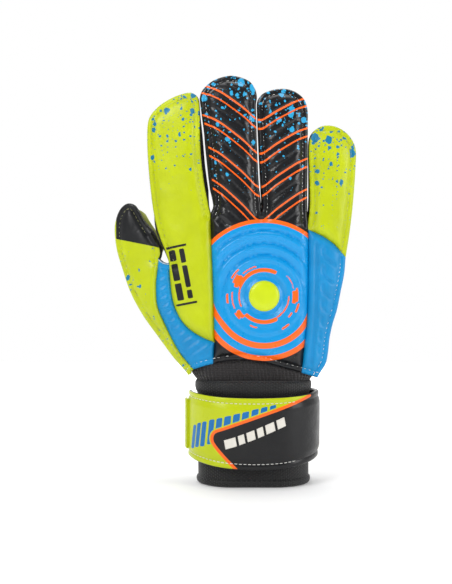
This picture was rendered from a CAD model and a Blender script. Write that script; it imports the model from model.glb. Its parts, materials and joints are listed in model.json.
"""The looks of a right-hand goalkeeper glove, built round its fixed frame.

The glove is sewn from pattern pieces. Each pattern piece is drawn flat, as seams through a few points
in the X-Z plane, and is then laid over the back or the palm of the hand as one closed, padded shell.
A piece that crosses a bending line is cut between two bending lines, so that each part of it bends
between two bodies only. Sizes are in millimetres here and become metres when a mesh is made.
"""

import json
import logging
import math
from collections.abc import Callable
from dataclasses import dataclass, field
from enum import Enum

import bpy
import numpy as np
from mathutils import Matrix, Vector
from mathutils.geometry import delaunay_2d_cdt


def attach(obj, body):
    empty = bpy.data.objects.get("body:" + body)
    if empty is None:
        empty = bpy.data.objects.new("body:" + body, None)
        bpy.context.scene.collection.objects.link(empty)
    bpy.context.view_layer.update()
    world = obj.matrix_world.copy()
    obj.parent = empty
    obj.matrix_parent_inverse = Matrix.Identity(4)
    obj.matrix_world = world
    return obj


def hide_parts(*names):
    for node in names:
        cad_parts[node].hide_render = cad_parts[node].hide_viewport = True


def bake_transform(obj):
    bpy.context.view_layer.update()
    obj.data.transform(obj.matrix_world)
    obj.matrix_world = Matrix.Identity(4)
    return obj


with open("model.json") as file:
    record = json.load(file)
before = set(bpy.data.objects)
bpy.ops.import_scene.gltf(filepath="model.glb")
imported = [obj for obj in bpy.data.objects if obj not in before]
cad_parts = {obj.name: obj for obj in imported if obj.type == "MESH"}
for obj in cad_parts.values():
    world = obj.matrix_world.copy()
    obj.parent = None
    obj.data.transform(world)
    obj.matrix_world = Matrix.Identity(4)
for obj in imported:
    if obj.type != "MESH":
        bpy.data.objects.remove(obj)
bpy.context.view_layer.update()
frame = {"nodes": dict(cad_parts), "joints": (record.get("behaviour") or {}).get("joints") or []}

LOG = logging.getLogger("glove")
MM = 0.001
NO_INK = -9.0  # a signed distance, in millimetres, far outside any print
FINGER_FOOT = 10.5  # how far below a finger's lower bending line its own pieces begin, in millimetres
Points = np.ndarray
Layers = dict[str, Points]
Socket = bpy.types.NodeSocket
JOINTS = {joint["name"]: joint for joint in frame["joints"]}


# ---------------------------------------------------------------- colours and nodes


def linear(hex_colour: str) -> tuple[float, float, float, float]:
    """Turns an sRGB hex colour into linear RGBA.

    Args:
        hex_colour: six hex digits with a leading hash.

    Returns:
        The linear colour, with alpha 1.
    """
    values = [int(hex_colour[start:start + 2], 16) / 255 for start in (1, 3, 5)]
    curve = [v / 12.92 if v <= 0.04045 else ((v + 0.055) / 1.055) ** 2.4 for v in values]
    return (*curve, 1.0)


def add_node(tree: bpy.types.NodeTree, kind: str, inputs: dict | None = None, **settings) -> bpy.types.Node:
    """Adds one shader node with its settings and links.

    Args:
        tree: the node tree.
        kind: the node's type name, without its ShaderNode prefix.
        inputs: input name or number to a value, or to an output socket that is linked to it.
        settings: the node's own properties.

    Returns:
        The node.
    """
    node = tree.nodes.new("ShaderNode" + kind)
    for name, value in settings.items():
        setattr(node, name, value)
    for key, value in (inputs or {}).items():
        if isinstance(value, bpy.types.NodeSocket):
            tree.links.new(value, node.inputs[key])
        else:
            node.inputs[key].default_value = value
    return node


def new_material(name: str) -> tuple[bpy.types.Material, bpy.types.NodeTree]:
    """Makes an empty node material.

    Args:
        name: the material's name.

    Returns:
        The material and its node tree.
    """
    material = bpy.data.materials.new(name)
    material.use_nodes = True
    material.node_tree.nodes.clear()
    return material, material.node_tree


def finish_surface(
    tree: bpy.types.NodeTree, colour: Socket | tuple, roughness: Socket | float,
    height: Socket | None, bump_mm: float, **constants: Socket | float | tuple,
) -> None:
    """Ends a material: one shader with its bump, and the output.

    Args:
        tree: the material's node tree.
        colour: a linear colour or a colour socket.
        roughness: a number or a socket.
        height: a socket whose value from 0 to 1 raises the surface, or None.
        bump_mm: how far a height of 1 raises it, in millimetres.
        constants: values for the shader's own sockets, with underscores for spaces.
    """
    inputs = {"Base Color": colour, "Roughness": roughness}
    if height is not None:
        bump = add_node(tree, "Bump", {"Height": height, "Distance": bump_mm * MM, "Strength": 1.0})
        inputs["Normal"] = bump.outputs["Normal"]
    inputs |= {name.replace("_", " "): value for name, value in constants.items()}
    shader = add_node(tree, "BsdfPrincipled", inputs)
    add_node(tree, "OutputMaterial", {"Surface": shader.outputs["BSDF"]})


# ---------------------------------------------------------------- finishes


class Ink(Enum):
    """The layers that are printed on a panel, each a signed distance stored on its mesh."""

    ORANGE = "ink_orange"
    BLUE = "ink_blue"
    LIME = "ink_lime"
    BLACK = "ink_black"


INK_COLOURS = {Ink.ORANGE: "#f76614", Ink.BLUE: "#0490d2", Ink.LIME: "#b7c404", Ink.BLACK: "#101114"}


@dataclass(frozen=True)
class CoatedPadding:
    """Polyurethane-coated textile, printed and hot-pressed over foam: smooth, with a soft gloss."""

    name: str
    base: str
    spatter: str = "#12739a"
    roughness: float = 0.4
    coat: float = 0.06
    blue_ink: str = INK_COLOURS[Ink.BLUE]
    grain_mm: float = 0.55  # pressed leather grain, drawn a little coarse to show

    def build(self) -> bpy.types.Material:
        """Returns the material."""
        material, tree = new_material(self.name)
        rest = add_node(tree, "Attribute", attribute_name="rest").outputs["Vector"]
        tone = add_node(
            tree, "TexNoise", {"Vector": rest, "Scale": 0.05, "Detail": 3.0, "Roughness": 0.6}
        )
        shade = add_node(
            tree, "MapRange", {"Value": tone.outputs["Fac"], "From Min": 0.3, "From Max": 0.7,
                               "To Min": 0.9, "To Max": 1.06}
        )
        colour = add_node(
            tree, "HueSaturation", {"Color": linear(self.base), "Value": shade.outputs["Result"]}
        ).outputs["Color"]
        colour = self.add_spatter(tree, rest, colour)
        inks = INK_COLOURS | {Ink.BLUE: self.blue_ink}
        for ink in (Ink.LIME, Ink.BLUE, Ink.BLACK, Ink.ORANGE):
            layer = add_node(tree, "Attribute", attribute_name=ink.value)
            edge = add_node(
                tree, "MapRange", {"Value": layer.outputs["Fac"], "From Min": -0.12, "From Max": 0.12}
            )
            colour = add_node(
                tree, "Mix", {"Factor": edge.outputs["Result"], 6: colour, 7: linear(inks[ink])},
                data_type="RGBA",
            ).outputs[2]
        colour = self.add_chevrons(tree, colour)
        grain = add_node(
            tree, "TexVoronoi", {"Vector": rest, "Scale": 1.0 / self.grain_mm, "Randomness": 1.0},
            feature="SMOOTH_F1",
        )
        creases = add_node(tree, "TexNoise", {"Vector": rest, "Scale": 0.16, "Detail": 5.0})
        height = add_node(
            tree, "Math", {0: grain.outputs["Distance"], 1: 0.12, 2: creases.outputs["Fac"]},
            operation="MULTIPLY_ADD",
        )
        rough = add_node(
            tree, "MapRange", {"Value": creases.outputs["Fac"], "From Min": 0.3, "From Max": 0.7,
                               "To Min": self.roughness - 0.06, "To Max": self.roughness + 0.08}
        )
        finish_surface(
            tree, colour, rough.outputs["Result"], height.outputs["Value"], 0.45,
            IOR=1.45, Specular_IOR_Level=0.36, Coat_Weight=self.coat, Coat_Roughness=0.22,
        )
        return material

    def add_spatter(self, tree: bpy.types.NodeTree, rest: Socket, colour: Socket) -> Socket:
        """Adds the flicked paint drops, denser where the mesh's spray value is higher.

        Args:
            tree: the node tree.
            rest: the rest-coordinate socket.
            colour: the colour socket under the drops.

        Returns:
            The colour socket with the drops.
        """
        spray = add_node(tree, "Attribute", attribute_name="spray").outputs["Fac"]
        warp = add_node(tree, "TexNoise", {"Vector": rest, "Scale": 0.4, "Detail": 3.0})
        shifted = add_node(
            tree, "VectorMath", {0: warp.outputs["Color"], 1: (2.6, 2.6, 2.6), 2: rest},
            operation="MULTIPLY_ADD",
        )
        apart = add_node(tree, "SeparateXYZ", {"Vector": shifted.outputs["Vector"]})
        for spacing_mm, size, stretch in ((8.2, 0.42, 1.25), (5.0, 0.36, 0.85), (2.9, 0.30, 1.1)):
            tall = add_node(
                tree, "Math", {0: apart.outputs["Z"], 1: 1.0 / stretch}, operation="MULTIPLY"
            )
            flat = add_node(
                tree, "CombineXYZ", {"X": apart.outputs["X"], "Y": tall.outputs["Value"]}
            )
            cells = add_node(
                tree, "TexVoronoi", {"Vector": flat.outputs["Vector"], "Scale": 1.0 / spacing_mm},
                voronoi_dimensions="2D",
            )
            chance = add_node(tree, "SeparateColor", {"Color": cells.outputs["Color"]})
            room = add_node(
                tree, "Math", {0: spray, 1: chance.outputs["Red"]}, operation="SUBTRACT"
            )
            reach = add_node(tree, "Math", {0: room.outputs["Value"], 1: size}, operation="MULTIPLY")
            drop = add_node(
                tree, "Math", {0: reach.outputs["Value"], 1: cells.outputs["Distance"]},
                operation="GREATER_THAN",
            )
            colour = add_node(
                tree, "Mix", {"Factor": drop.outputs["Value"], 6: colour, 7: linear(self.spatter)},
                data_type="RGBA",
            ).outputs[2]
        return colour

    def add_chevrons(self, tree: bpy.types.NodeTree, colour: Socket) -> Socket:
        """Adds the pairs of thin orange chevron lines from the mesh's chevron coordinate.

        Args:
            tree: the node tree.
            colour: the colour socket under the lines.

        Returns:
            The colour socket with the lines.
        """
        phase = add_node(tree, "Attribute", attribute_name="chevron").outputs["Fac"]
        mask = add_node(tree, "Attribute", attribute_name="chevron_mask").outputs["Fac"]
        for offset in (0.0, CHEVRONS.gap):
            moved = add_node(tree, "Math", {0: phase, 1: offset}, operation="ADD")
            away = add_node(
                tree, "Math", {0: moved.outputs["Value"], 1: CHEVRONS.pitch / 2}, operation="PINGPONG"
            )
            near = add_node(
                tree, "Math", {0: away.outputs["Value"], 1: CHEVRONS.line_width / 2},
                operation="LESS_THAN",
            )
            shown = add_node(tree, "Math", {0: near.outputs["Value"], 1: mask}, operation="MULTIPLY")
            colour = add_node(
                tree, "Mix",
                {"Factor": shown.outputs["Value"], 6: colour, 7: linear(INK_COLOURS[Ink.ORANGE])},
                data_type="RGBA",
            ).outputs[2]
        return colour


@dataclass(frozen=True)
class LatexFoam:
    """Natural latex foam, cast and split: matt, with open pores and a slightly dusty lime yellow."""

    name: str = "latex_foam_cast"
    base: str = "#cfd672"
    pore_mm: float = 0.8  # real pores are about 0.3 mm, drawn coarser to show

    def build(self) -> bpy.types.Material:
        """Returns the material."""
        material, tree = new_material(self.name)
        rest = add_node(tree, "Attribute", attribute_name="rest").outputs["Vector"]
        pores = add_node(tree, "TexVoronoi", {"Vector": rest, "Scale": 1.0 / self.pore_mm})
        cloud = add_node(tree, "TexNoise", {"Vector": rest, "Scale": 0.08, "Detail": 4.0})
        shade = add_node(
            tree, "MapRange", {"Value": cloud.outputs["Fac"], "From Min": 0.3, "From Max": 0.7,
                               "To Min": 0.95, "To Max": 1.02}
        )
        pit = add_node(
            tree, "MapRange", {"Value": pores.outputs["Distance"], "From Min": 0.05, "From Max": 0.3,
                               "To Min": 0.78, "To Max": 1.0}
        )
        value = add_node(
            tree, "Math", {0: shade.outputs["Result"], 1: pit.outputs["Result"]}, operation="MULTIPLY"
        )
        colour = add_node(
            tree, "HueSaturation", {"Color": linear(self.base), "Value": value.outputs["Value"]}
        )
        finish_surface(
            tree, colour.outputs["Color"], 0.82, pit.outputs["Result"], 0.25,
            IOR=1.52, Sheen_Weight=0.15,
        )
        return material


@dataclass(frozen=True)
class SpacerMesh:
    """Warp-knitted polyester spacer mesh: black, with rows of small six-sided holes."""

    name: str = "polyester_spacer_mesh_knitted"
    base: str = "#0d0d0e"
    hole_mm: float = 1.9  # spacing of the holes

    def build(self) -> bpy.types.Material:
        """Returns the material."""
        material, tree = new_material(self.name)
        rest = add_node(tree, "Attribute", attribute_name="weave").outputs["Vector"]
        total = None
        for angle in (0, 60, 120):
            way = (math.cos(math.radians(angle)), math.sin(math.radians(angle)), 0.0)
            along = add_node(tree, "VectorMath", {0: rest, 1: way}, operation="DOT_PRODUCT")
            turns = add_node(
                tree, "Math", {0: along.outputs["Value"], 1: 4 * math.pi / (math.sqrt(3) * self.hole_mm)},
                operation="MULTIPLY",
            )
            wave = add_node(tree, "Math", {0: turns.outputs["Value"]}, operation="COSINE")
            total = wave if total is None else add_node(
                tree, "Math", {0: total.outputs["Value"], 1: wave.outputs["Value"]}, operation="ADD"
            )
        yarn = add_node(
            tree, "MapRange", {"Value": total.outputs["Value"], "From Min": 0.6, "From Max": 2.2,
                               "To Min": 1.0, "To Max": 0.0}
        )
        colour = add_node(
            tree, "Mix",
            {"Factor": yarn.outputs["Result"], 6: linear("#050506"), 7: linear(self.base)},
            data_type="RGBA",
        )
        finish_surface(
            tree, colour.outputs[2], 0.62, yarn.outputs["Result"], 0.5, IOR=1.46, Sheen_Weight=0.1
        )
        return material


@dataclass(frozen=True)
class RibKnit:
    """Ribbed elastic knit of cotton over rubber thread: warm black, soft and matt."""

    name: str = "elastic_rib_knitted"
    base: str = "#221e1f"
    stitch_mm: float = 1.1  # height of one knitted stitch, drawn coarse to show

    def build(self) -> bpy.types.Material:
        """Returns the material."""
        material, tree = new_material(self.name)
        weave = add_node(tree, "Attribute", attribute_name="weave").outputs["Vector"]
        fuzz = add_node(tree, "TexNoise", {"Vector": weave, "Scale": 1.4, "Detail": 4.0})
        loops = add_node(
            tree, "TexWave", {"Vector": weave, "Scale": 0.314 / self.stitch_mm, "Distortion": 1.5},
            bands_direction="Y",
        )
        height = add_node(
            tree, "Math", {0: loops.outputs["Fac"], 1: fuzz.outputs["Fac"]}, operation="ADD"
        )
        shade = add_node(
            tree, "MapRange", {"Value": height.outputs["Value"], "From Min": 0.4, "From Max": 1.6,
                               "To Min": 0.55, "To Max": 1.25}
        )
        colour = add_node(
            tree, "HueSaturation", {"Color": linear(self.base), "Value": shade.outputs["Result"]}
        )
        finish_surface(
            tree, colour.outputs["Color"], 0.85, height.outputs["Value"], 0.3,
            IOR=1.5, Sheen_Weight=0.3,
        )
        return material


@dataclass(frozen=True)
class Plain:
    """A plain moulded or spun finish with a fine grain of its own."""

    name: str
    base: str
    roughness: float
    grain_mm: float
    bump_mm: float
    coat: float = 0.0
    mottle: float = 0.1

    def build(self) -> bpy.types.Material:
        """Returns the material."""
        material, tree = new_material(self.name)
        place = add_node(tree, "TexCoord").outputs["Object"]
        grain = add_node(
            tree, "TexNoise", {"Vector": place, "Scale": 1.0 / (self.grain_mm * MM), "Detail": 3.0}
        )
        shade = add_node(
            tree, "MapRange", {"Value": grain.outputs["Fac"], "From Min": 0.3, "From Max": 0.7,
                               "To Min": 1 - self.mottle, "To Max": 1 + self.mottle}
        )
        colour = add_node(
            tree, "HueSaturation", {"Color": linear(self.base), "Value": shade.outputs["Result"]}
        )
        finish_surface(
            tree, colour.outputs["Color"], self.roughness, grain.outputs["Fac"], self.bump_mm,
            IOR=1.45, Coat_Weight=self.coat,
        )
        return material


@dataclass(frozen=True)
class Backdrop:
    """Seamless matt paper, washed with light away from the glove so that its edge fades out."""

    name: str = "paper_backdrop_matt"
    base: str = "#f2f2f2"
    near: float = 0.15  # where the wash begins, in metres from the glove
    far: float = 0.75
    wash: float = 0.75

    def build(self) -> bpy.types.Material:
        """Returns the material."""
        material, tree = new_material(self.name)
        place = add_node(tree, "TexCoord").outputs["Object"]
        away = add_node(tree, "VectorMath", {0: place}, operation="LENGTH")
        glow = add_node(
            tree, "MapRange", {"Value": away.outputs["Value"], "From Min": self.near,
                               "From Max": self.far, "To Min": 0.12, "To Max": self.wash}
        )
        finish_surface(
            tree, linear(self.base), 0.9, None, 0.0,
            Emission_Color=linear(self.base), Emission_Strength=glow.outputs["Result"],
        )
        return material


class Finishes:
    """Every material of the glove, built once."""

    def __init__(self) -> None:
        """Builds the materials."""
        self.lime = CoatedPadding("coated_textile_lime_printed", "#b5c203").build()
        self.blue = CoatedPadding("coated_textile_blue_printed", "#0386c2").build()
        self.black = CoatedPadding(
            "coated_textile_black_gloss_printed", "#101114", spatter="#2a9fd0", roughness=0.3, coat=0.2
        ).build()
        self.strap = CoatedPadding(
            "coated_textile_strap_printed", "#0c0c0f", roughness=0.34, coat=0.14, blue_ink="#0669ab"
        ).build()
        self.latex = LatexFoam().build()
        self.mesh = SpacerMesh().build()
        self.knit = RibKnit().build()
        self.thread = Plain("polyester_thread_spun_white", "#d9d9d4", 0.7, 0.3, 0.05).build()
        self.grey_thread = Plain("polyester_thread_spun_grey", "#8f9068", 0.7, 0.3, 0.05).build()
        self.dome = Plain("pu_dome_lime_moulded", "#c3d404", 0.35, 5.0, 0.02, coat=0.1, mottle=0.02).build()
        self.badge = Plain("tpu_badge_pale_moulded", "#dcd8cf", 0.4, 4.0, 0.02, mottle=0.03).build()
        self.spine = Plain("polypropylene_spine_moulded", "#26272a", 0.45, 0.8, 0.04).build()
        self.tape = Plain("nylon_hook_and_loop_woven", "#101011", 0.95, 0.7, 0.5).build()
        self.lining = Plain("brushed_jersey_lining_knitted", "#2b2c2e", 0.9, 0.6, 0.2).build()


# ---------------------------------------------------------------- flat geometry


def smooth_line(points: list[tuple[float, float]], spacing: float) -> Points:
    """Runs a smooth curve through points and divides it evenly.

    Args:
        points: the points to pass through; two give a straight line.
        spacing: the wanted distance between the returned points.

    Returns:
        The divided curve, with both ends kept.
    """
    known = np.array(points, float)
    if len(known) > 2:
        before, after = 2 * known[0] - known[1], 2 * known[-1] - known[-2]
        run = np.vstack([before, known, after])
        steps = np.linspace(0, 1, 24, endpoint=False)[:, None]
        pieces = []
        for i in range(1, len(run) - 2):
            p0, p1, p2, p3 = run[i - 1:i + 3]
            span = np.linalg.norm(p2 - p1)
            m1 = (p2 - p0) * span / max(np.linalg.norm(p2 - p1) + np.linalg.norm(p1 - p0), 1e-9)
            m2 = (p3 - p1) * span / max(np.linalg.norm(p3 - p2) + np.linalg.norm(p2 - p1), 1e-9)
            t = steps
            pieces.append(
                (2 * t**3 - 3 * t**2 + 1) * p1 + (t**3 - 2 * t**2 + t) * m1
                + (3 * t**2 - 2 * t**3) * p2 + (t**3 - t**2) * m2
            )
        known = np.vstack([*pieces, known[-1:]])
    return resample(known, spacing)


def resample(line: Points, spacing: float) -> Points:
    """Divides a polyline evenly, keeping both ends.

    Args:
        line: the polyline's points.
        spacing: the wanted distance between points.

    Returns:
        The divided polyline.
    """
    lengths = np.r_[0, np.cumsum(np.linalg.norm(np.diff(line, axis=0), axis=1))]
    count = max(int(round(lengths[-1] / spacing)), 1)
    places = np.linspace(0, lengths[-1], count + 1)
    return np.column_stack([np.interp(places, lengths, line[:, k]) for k in range(line.shape[1])])


def distance_to(points: Points, line: Points) -> Points:
    """The distance from each point to a polyline.

    Args:
        points: N points.
        line: the polyline.

    Returns:
        N distances.
    """
    best = np.full(len(points), 1e9)
    for start, end in zip(line[:-1], line[1:]):
        way = end - start
        along = np.clip(((points - start) @ way) / max(way @ way, 1e-12), 0, 1)
        np.minimum(best, np.hypot(*(points - start - along[:, None] * way).T), out=best)
    return best


def inside(points: Points, loop: Points) -> Points:
    """Whether each point is inside a closed outline.

    Args:
        points: N points.
        loop: the outline's corners.

    Returns:
        N booleans.
    """
    x, z = points[:, 0], points[:, 1]
    result = np.zeros(len(points), bool)
    for (x1, z1), (x2, z2) in zip(loop, np.roll(loop, -1, axis=0)):
        if z1 != z2:
            crosses = (z1 > z) != (z2 > z)
            result ^= crosses & (x < (x2 - x1) * (z - z1) / (z2 - z1) + x1)
    return result


def ease(low: float, high: float, value: Points) -> Points:
    """A smooth step from 0 at low to 1 at high."""
    t = np.clip((value - low) / (high - low), 0, 1)
    return t * t * (3 - 2 * t)


# ---------------------------------------------------------------- the pattern

SEAMS: dict[str, list[tuple[float, float]]] = {
    "thumb_outside": [(-42.5, 71.5), (-52.7, 83.2), (-64.4, 98.8), (-72.8, 110.5), (-81.3, 126),
                      (-87, 141.7), (-90.6, 153.4), (-92.2, 165), (-91.6, 173), (-88.6, 180.5),
                      (-83.8, 184.4), (-79.2, 183.6), (-75.8, 179), (-72.2, 172.4), (-66.4, 163.6),
                      (-62.8, 157), (-61.4, 152), (-62.3, 147.6)],
    "web_top": [(-62.3, 147.6), (-59, 145.2), (-55.4, 144.6)],
    "web_thumb": [(-39.5, 75.6), (-48.8, 87.1), (-58.6, 106), (-63, 117), (-63.9, 130.7),
                  (-62.9, 141), (-62.3, 147.6)],
    "thumb_hem": [(-39.5, 75.6), (-42.5, 71.5)],
    "web_hem": [(-39.5, 75.6), (-33, 77.6), (-26.7, 79.3)],
    "web_index": [(-25.7, 93.2), (-34.5, 96.9), (-42.6, 102.3), (-48.6, 109.5), (-52.6, 119.4),
                  (-54.6, 133), (-55.4, 144.6)],
    "low_left": [(-26.7, 79.3), (-25.7, 93.2)],
    "index_outside": [(-55.4, 144.6), (-57.4, 151.6), (-61.1, 161), (-64.6, 173), (-67.2, 190), (-69.4, 214),
                      (-69.8, 233), (-68.4, 240.6), (-63.4, 247), (-57.4, 251.4), (-50, 254.8),
                      (-42, 256.5), (-38, 254.8), (-35.9, 250), (-35.4, 240), (-35.2, 224),
                      (-34.2, 210), (-32, 194), (-29.8, 183), (-28.4, 177)],
    "index_centre": [(-28.4, 177), (-28, 165), (-26.4, 125), (-25.7, 93.2)],
    "middle_outside": [(-28.4, 177), (-26.2, 183), (-28.2, 206), (-31, 229.6), (-34, 243),
                       (-35, 251.6), (-33.4, 258), (-28.4, 263), (-22, 266), (-14.6, 267.2),
                       (-6.6, 265.4), (-1.4, 262), (1, 256.6), (1.3, 248), (2, 222), (3.1, 198),
                       (4.2, 184), (4.9, 177)],
    "ring_outside": [(4.9, 177), (5.6, 184), (4.5, 198), (3.4, 219), (2.2, 243.8), (2.6, 250.6),
                     (5.4, 254.9), (10, 257.2), (16, 258.5), (22.4, 258.3), (28.2, 256),
                     (32.8, 251.8), (35, 245.4), (35.2, 236), (35, 205), (34.8, 184), (35.3, 170)],
    "centre_little": [(35.3, 170), (35.5, 166.6)],
    "centre_outer": [(35.5, 166.6), (35.3, 140), (34.7, 112), (32.9, 91.7), (31, 73.4)],
    "centre_hem": [(-26.7, 79.3), (-15.6, 81.3), (-4.6, 81.7), (3.9, 80.8), (16.9, 77.2), (31, 73.4)],
    "little_outside": [(35.3, 170), (36.6, 182), (36.4, 205), (36.2, 222.6), (38.2, 229.4),
                       (42.6, 233.6), (48, 235), (54.4, 234), (60.6, 230.4), (65, 225),
                       (67, 218.4), (66.8, 208), (65.9, 194), (64.4, 178), (62.4, 163),
                       (60, 148.6)],
    "little_outer": [(35.5, 166.6), (41.5, 164), (47.5, 160.8), (53.4, 156.2), (60, 148.6)],
    "outer_edge": [(60, 148.6), (59, 137.8), (56.6, 126), (54.2, 114.4), (51.2, 104.7),
                   (49.2, 95), (48.4, 87), (46.8, 79.3), (43, 73.2), (41.4, 70.2)],
    "outer_hem": [(31, 73.4), (41.4, 70.2)],
}
CONTOUR = ("thumb_outside", "web_top", "index_outside", "middle_outside", "ring_outside",
           "little_outside", "outer_edge")
GRID_MM = 1.15


@dataclass(frozen=True)
class Chevrons:
    """The pairs of chevron lines over the middle and ring stalls, V-shaped about the slit."""

    slit_x: float = 4.0
    first: float = 232.1
    pitch: float = 21.9
    gap: float = 5.8
    line_width: float = 1.4
    slope_left: float = 0.82
    slope_right: float = 0.60
    steepening: float = 0.0034
    pad_depth: float = 1.3

    def phase(self, x: Points, z: Points) -> Points:
        """The distance of each point below its chevron's own line, along Z."""
        side = np.abs(x - self.slit_x)
        slope = np.where(x < self.slit_x, self.slope_left, self.slope_right)
        slope = slope + self.steepening * (235 - z)
        run = np.hypot(side, 2.5) - 2.5 + 1.2 * ease(2, 12, side)
        flatter = 0.014 * np.clip(side - 22, 0, None) ** 2
        return self.first - (z - slope * run + flatter)


@dataclass(frozen=True)
class Target:
    """The round motif of the backhand: bands, ridges and broken strokes about the dome."""

    x: float = 6.4
    z: float = 123.4
    top_band: tuple[float, float] = (47.3, 49.9)
    middle_band: tuple[float, float] = (30.3, 34.1)
    low_band: tuple[float, float] = (38.7, 42.1)
    ridges: tuple[float, ...] = (26.6, 34.2, 42.4)
    dish: float = 14.0

    def polar(self, x: Points, z: Points) -> tuple[Points, Points]:
        """The radius and the angle in degrees, from +X towards +Z, of each point."""
        return np.hypot(x - self.x, z - self.z), np.degrees(np.arctan2(z - self.z, x - self.x))

    def strokes(self) -> list[tuple[float, float, float, float]]:
        """The broken strokes: radius, thickness, and first and last angle."""
        return [
            (16.8, 2.5, 62, 160), (16.2, 1.1, 160, 206), (16.8, 2.5, 224, 300), (16.0, 1.1, 300, 360),
            (19.3, 2.6, 138, 163), (21.4, 1.9, 141, 157), (23.8, 1.2, 133, 152), (19.8, 1.0, 104, 134),
            (20.7, 1.0, 172, 204), (23.9, 1.5, 176, 192), (19.2, 2.4, 208, 226), (21.6, 1.3, 210, 224),
            (19.6, 2.6, -14, 10), (21.6, 1.3, -10, 14), (19.6, 0.9, 14, 44), (22.8, 1.4, -28, -12),
            (20.8, 1.2, -42, -30), (24.2, 1.4, -62, -48), (21.0, 1.1, 244, 258),
        ]

    def broken_ring(self, x: Points, z: Points) -> Points:
        """The signed distance into the broken strokes, positive inside."""
        radius, angle = self.polar(x, z)
        best = np.full(len(x), NO_INK)
        for middle, thick, first, last in self.strokes():
            half = (last - first) / 2
            off = np.abs((angle - (first + last) / 2 + 180) % 360 - 180)
            across = thick / 2 - np.abs(radius - middle)
            along = np.radians(half - off) * middle
            best = np.maximum(best, np.minimum(across, along))
        return best


CHEVRONS = Chevrons()
TARGET = Target()


class HandForm:
    """The curved faces of the hand that the pattern is laid over."""

    back_heights = (60, 95, 130, 165, 190, 230, 275)
    back_depths = (-16.8, -18.2, -18.4, -17.0, -16.2, -15.7, -14.6)
    palm_heights = (60, 86, 120, 160, 190, 230, 275)
    palm_depths = (16.4, 16.2, 13.4, 7.6, 3.2, 2.6, 1.6)
    crown_reach = 62.0

    def web_line(self, z: Points) -> Points:
        """The x of the seam between web and thumb at each height."""
        line = np.array(SEAMS["web_thumb"] + [(-64, 160), (-68, 185)])
        return np.interp(z, line[:, 1], line[:, 0])

    def crown(self, x: Points, amount: float) -> Points:
        """How far the hand's round back falls away beside its middle."""
        return amount * np.minimum(np.abs(x - 3), self.crown_reach) ** 2

    def back(self, x: Points, z: Points, thumb: bool) -> Points:
        """The depth y of the lining of the back."""
        level = smooth_profile(self.back_heights, self.back_depths, z) + self.crown(x, 0.0012)
        return level + (0.36 * self.beyond_web(x, z) if thumb else 0)

    def palm(self, x: Points, z: Points, thumb: bool) -> Points:
        """The depth y of the lining of the palm."""
        level = smooth_profile(self.palm_heights, self.palm_depths, z) - self.crown(x, 0.0009)
        return level + (0.22 * self.beyond_web(x, z) if thumb else 0)

    def beyond_web(self, x: Points, z: Points) -> Points:
        """How far a point lies on the thumb's side of the web, with a soft start."""
        over = self.web_line(z) - x
        return np.where(over > 0, over * ease(0, 6, over), 0)


def smooth_profile(places: tuple, values: tuple, at: Points) -> Points:
    """A smooth curve through values at places, read at other places."""
    dense = smooth_line(list(zip(places, values)), 1.0)
    return np.interp(at, dense[:, 0], dense[:, 1])


FORM = HandForm()


# ---------------------------------------------------------------- shells


@dataclass
class Stall:
    """One finger stall's bending lines, read from the frame's joints."""

    name: str
    low: float
    high: float
    left: tuple[float, float]
    right: tuple[float, float]
    reach: float = 10.0
    edge_heights: tuple[float, float] = (177.0, 250.0)

    def edges(self, z: Points) -> tuple[Points, Points]:
        """The x of the slits to the left and right of the stall at each height."""
        return np.interp(z, self.edge_heights, self.left), np.interp(z, self.edge_heights, self.right)

    def owns(self, x: Points, z: Points) -> Points:
        """Whether each point lies between the stall's two slits."""
        left, right = self.edges(z)
        return (x > left) & (x < right)

    @property
    def cut(self) -> float:
        """The height where the stall's pieces are cut apart."""
        return (self.low + self.high) / 2

    def bend_root(self, piece: bpy.types.Object) -> None:
        """Bends a piece over the knuckle line."""
        self.bend(piece, "hand", f"{self.name}_base", self.low)

    def bend_tip(self, piece: bpy.types.Object) -> None:
        """Bends a piece over the second bending line."""
        self.bend(piece, f"{self.name}_base", f"{self.name}_tip", self.high)

    def bend(self, piece: bpy.types.Object, lower: str, upper: str, height: float) -> None:
        """Blends a piece between two bodies about a height."""
        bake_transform(piece)


def read_stalls() -> dict[str, Stall]:
    """Reads the four finger stalls' bending lines and crotches from the frame and the pattern."""
    stalls = {}
    slits = [(-75.0, -75.0), (-28.4, -35.2), (4.9, 1.75), (35.4, 35.7), (75.0, 75.0)]
    for name, left, right in zip(("index", "middle", "ring", "little"), slits, slits[1:]):
        low = JOINTS[f"{name}_knuckle"]["pos_m"][2] / MM
        high = JOINTS[f"{name}_middle"]["pos_m"][2] / MM
        stalls[name] = Stall(name, low, high, left, right)
    return stalls


STALLS = read_stalls()


@dataclass
class ThumbBend:
    """The thumb's bending line, read from the frame."""

    reach: float = 7.2
    tilt: float = math.radians(14)

    @property
    def centre(self) -> Vector:
        """A point on the bending line."""
        return Vector(JOINTS["thumb_bend"]["pos_m"])

    def bend(self, piece: bpy.types.Object) -> None:
        """Bends a piece over the thumb's line."""
        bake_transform(piece)


THUMB = ThumbBend()


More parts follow.
